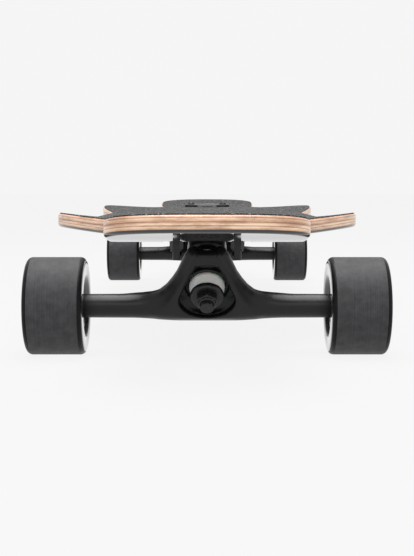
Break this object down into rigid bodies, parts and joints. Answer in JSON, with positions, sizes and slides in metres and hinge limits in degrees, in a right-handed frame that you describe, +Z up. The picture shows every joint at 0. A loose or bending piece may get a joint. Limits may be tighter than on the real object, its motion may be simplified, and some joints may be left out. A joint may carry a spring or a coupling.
{
  "type": "longboard skateboard",
  "caption": "Drop-through longboard with a laminated deck, reverse-kingpin trucks that steer by leaning, and free-rolling urethane wheels on ball bearings.",
  "frame": {"origin": "on the floor, under the middle of the board, with all four wheels standing on it", "axes": "+Y from nose to tail along the board, +Z up, +X across the board"},
  "size_m": [0.2572, 0.965, 0.1045],
  "materials": {
    "maple": "clear-coated laminated maple edge, black-painted underside",
    "grip": "matt coarse grip tape",
    "black_casting": "satin black powder coat over cast aluminium",
    "black_steel": "black zinc-plated steel",
    "bushing": "smooth translucent white urethane",
    "pivot": "smooth white urethane",
    "bright_steel": "bright zinc-plated steel",
    "urethane": "dark grey urethane, lathe-cut tread, glossy side faces",
    "core": "black glass-filled nylon"
  },
  "bodies": {
    "deck": {"deck": "maple", "grip_tape": "grip", "front_baseplate": "black_casting", "front_pivot_cup": "pivot", "front_kingpin": "black_steel", "front_kingpin_nut": "black_steel", "front_cup_washers": "black_steel", "front_board_bushing": "bushing", "front_road_bushing": "bushing", "front_mounting_bolts": "black_steel", "front_mounting_nuts": "black_steel", "rear_baseplate": "black_casting", "rear_pivot_cup": "pivot", "rear_kingpin": "black_steel", "rear_kingpin_nut": "black_steel", "rear_cup_washers": "black_steel", "rear_board_bushing": "bushing", "rear_road_bushing": "bushing", "rear_mounting_bolts": "black_steel", "rear_mounting_nuts": "black_steel"},
    "front_truck": {"front_hanger": "black_casting", "front_axle": "bright_steel", "front_axle_nuts": "bright_steel", "front_speed_washers": "bright_steel", "front_right_bearing_inners": "bright_steel", "front_right_spacer": "bright_steel", "front_left_bearing_inners": "bright_steel", "front_left_spacer": "bright_steel"},
    "front_right_wheel": {"front_right_tyre": "urethane", "front_right_core": "core", "front_right_bearing_outers": "bright_steel"},
    "front_left_wheel": {"front_left_tyre": "urethane", "front_left_core": "core", "front_left_bearing_outers": "bright_steel"},
    "rear_truck": {"rear_hanger": "black_casting", "rear_axle": "bright_steel", "rear_axle_nuts": "bright_steel", "rear_speed_washers": "bright_steel", "rear_right_bearing_inners": "bright_steel", "rear_right_spacer": "bright_steel", "rear_left_bearing_inners": "bright_steel", "rear_left_spacer": "bright_steel"},
    "rear_right_wheel": {"rear_right_tyre": "urethane", "rear_right_core": "core", "rear_right_bearing_outers": "bright_steel"},
    "rear_left_wheel": {"rear_left_tyre": "urethane", "rear_left_core": "core", "rear_left_bearing_outers": "bright_steel"}
  },
  "joints": [
    {"name": "front_steer", "type": "hinge", "parent": "deck", "child": "front_truck", "pos_m": [0, -0.343, 0.0555], "axis": [0, -0.8, 0.6], "range_deg": [-16, 16], "stiffness_Nm_per_rad": 60, "deforming": ["front_board_bushing", "front_road_bushing"]},
    {"name": "front_right_spin", "type": "hinge", "parent": "front_truck", "child": "front_right_wheel", "pos_m": [-0.1076, -0.335, 0.035], "axis": [1, 0, 0], "continuous": true},
    {"name": "front_left_spin", "type": "hinge", "parent": "front_truck", "child": "front_left_wheel", "pos_m": [0.1076, -0.335, 0.035], "axis": [1, 0, 0], "continuous": true},
    {"name": "rear_steer", "type": "hinge", "parent": "deck", "child": "rear_truck", "pos_m": [0, 0.343, 0.0555], "axis": [0, 0.8, 0.6], "range_deg": [-16, 16], "stiffness_Nm_per_rad": 60, "deforming": ["rear_board_bushing", "rear_road_bushing"]},
    {"name": "rear_right_spin", "type": "hinge", "parent": "rear_truck", "child": "rear_right_wheel", "pos_m": [-0.1076, 0.335, 0.035], "axis": [1, 0, 0], "continuous": true},
    {"name": "rear_left_spin", "type": "hinge", "parent": "rear_truck", "child": "rear_left_wheel", "pos_m": [0.1076, 0.335, 0.035], "axis": [1, 0, 0], "continuous": true}
  ]
}
